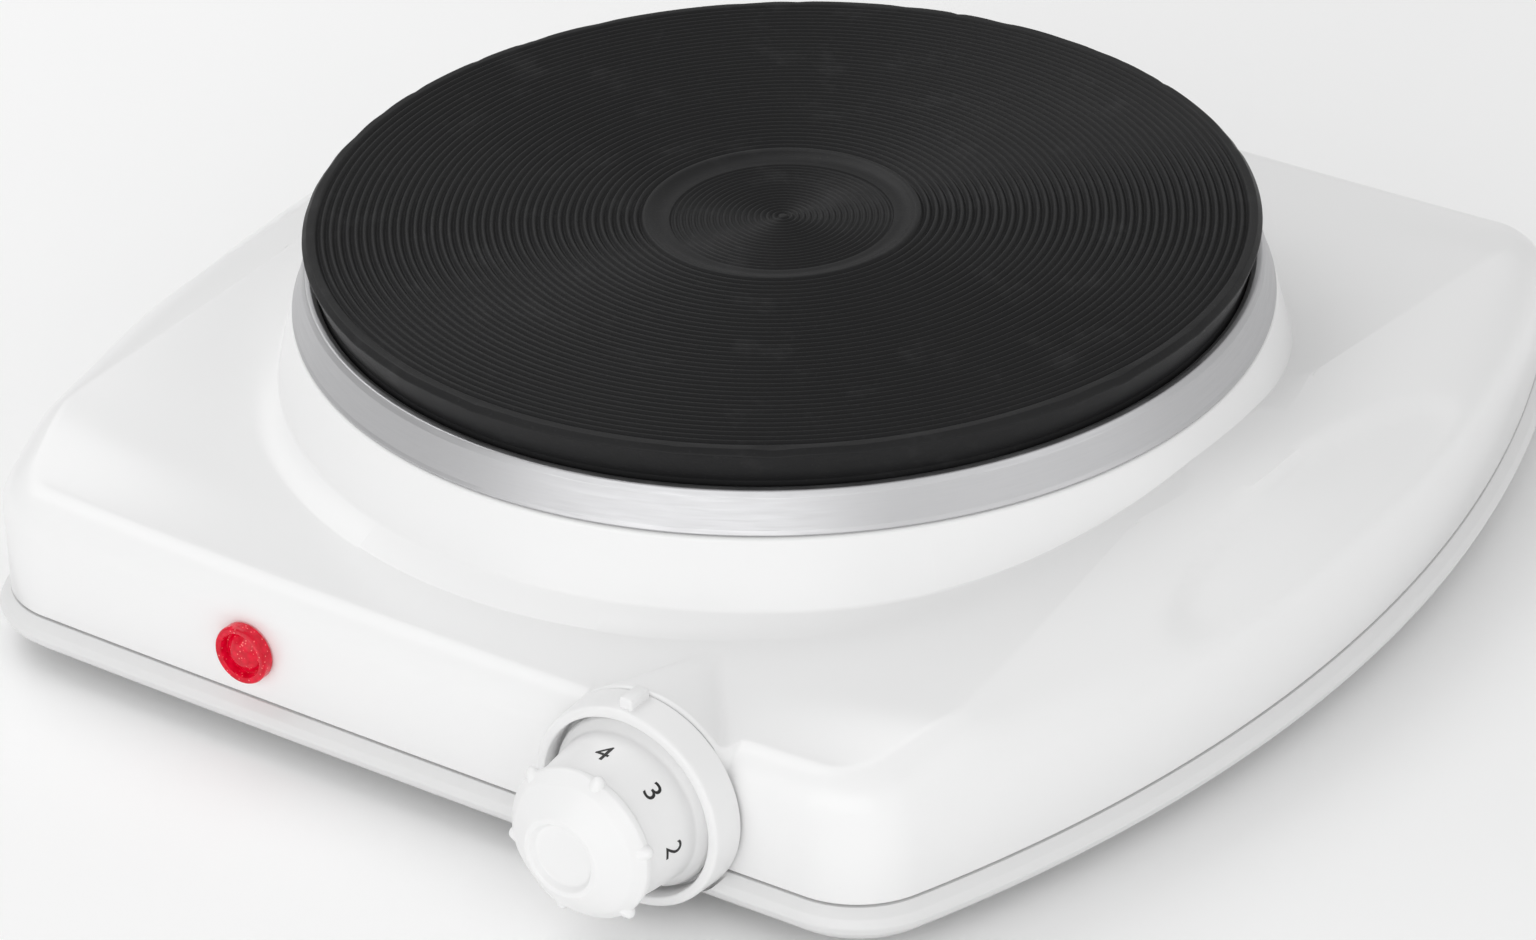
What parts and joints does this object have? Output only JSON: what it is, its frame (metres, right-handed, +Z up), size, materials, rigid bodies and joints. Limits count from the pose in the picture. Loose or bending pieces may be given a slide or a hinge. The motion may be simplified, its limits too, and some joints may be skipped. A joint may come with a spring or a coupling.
{
  "type": "hot plate burner",
  "caption": "Single electric hot plate: ribbed cast-iron plate in a steel ring on a white pressed housing with side wings, front control knob, red pilot lamp and rubber feet.",
  "frame": {"origin": "centre of the footprint on the surface that the feet stand on", "axes": "+Z up, +Y to the back, +X to the right seen from the front; the knob and lamp face -Y"},
  "size_m": [0.2592, 0.284, 0.0704],
  "materials": {
    "white_enamel": "gloss white stove enamel on pressed steel",
    "white_plastic": "semi-gloss white moulded plastic",
    "cast_iron": "black heat-treated iron with fine turned grooves",
    "satin_steel": "satin spun stainless steel",
    "zinc_steel": "dull zinc-plated steel",
    "brass": "plain brass",
    "ceramic": "matt steatite ceramic",
    "mica": "pressed mica board",
    "bakelite": "dark phenolic moulding",
    "black_rubber": "matt black rubber",
    "red_lens": "clear red moulded lens, slightly domed",
    "clear_glass": "clear glass of a neon bulb",
    "brown_silicone": "brown silicone insulation",
    "blue_silicone": "blue silicone insulation",
    "green_silicone": "green and yellow silicone insulation"
  },
  "bodies": {
    "root": {"base_tray": "white_plastic", "cable_gland": "black_rubber", "centre_stud": "zinc_steel", "clamp_bridge": "zinc_steel", "contact_leaf_fixed": "brass", "contact_leaf_moving": "brass", "cutout_cap": "zinc_steel", "earth_screw": "brass", "earth_tab": "brass", "foot_back_left": "black_rubber", "foot_back_right": "black_rubber", "foot_front_left": "black_rubber", "foot_front_right": "black_rubber", "heat_shield": "zinc_steel", "heater_terminal_left": "ceramic", "heater_terminal_right": "ceramic", "heating_coil_inner": "zinc_steel", "heating_coil_middle": "zinc_steel", "heating_coil_outer": "zinc_steel", "hot_plate_casting": "cast_iron", "housing_screw_back_left": "zinc_steel", "housing_screw_back_right": "zinc_steel", "housing_screw_front_left": "zinc_steel", "housing_screw_front_right": "zinc_steel", "insulation_disc": "mica", "knob_bezel": "white_plastic", "lamp_body": "white_plastic", "lamp_bulb": "clear_glass", "lamp_clip": "zinc_steel", "lamp_lens": "red_lens", "lead_earth": "green_silicone", "lead_lamp_neutral": "blue_silicone", "lead_lamp_switched": "brown_silicone", "lead_live": "brown_silicone", "lead_neutral": "blue_silicone", "lead_switched": "brown_silicone", "overflow_ring": "satin_steel", "plate_cover_pan": "zinc_steel", "stud_nut": "zinc_steel", "stud_spacer": "zinc_steel", "stud_washer": "zinc_steel", "terminal_block": "ceramic", "terminal_screw_earth": "brass", "terminal_screw_live": "brass", "terminal_screw_neutral": "brass", "thermal_cutout": "bakelite", "thermostat_body": "ceramic", "thermostat_bracket": "zinc_steel", "thermostat_screw_left": "zinc_steel", "thermostat_screw_right": "zinc_steel", "top_housing": "white_enamel"},
    "knob": {"control_knob": "white_plastic", "thermostat_shaft": "zinc_steel", "thermostat_cam": "bakelite"}
  },
  "joints": [
    {"name": "knob_turn", "type": "hinge", "parent": "root", "child": "knob", "pos_m": [0.056, -0.13, 0.0237], "axis": [0, -1, 0], "range_deg": [-20, 184]}
  ]
}
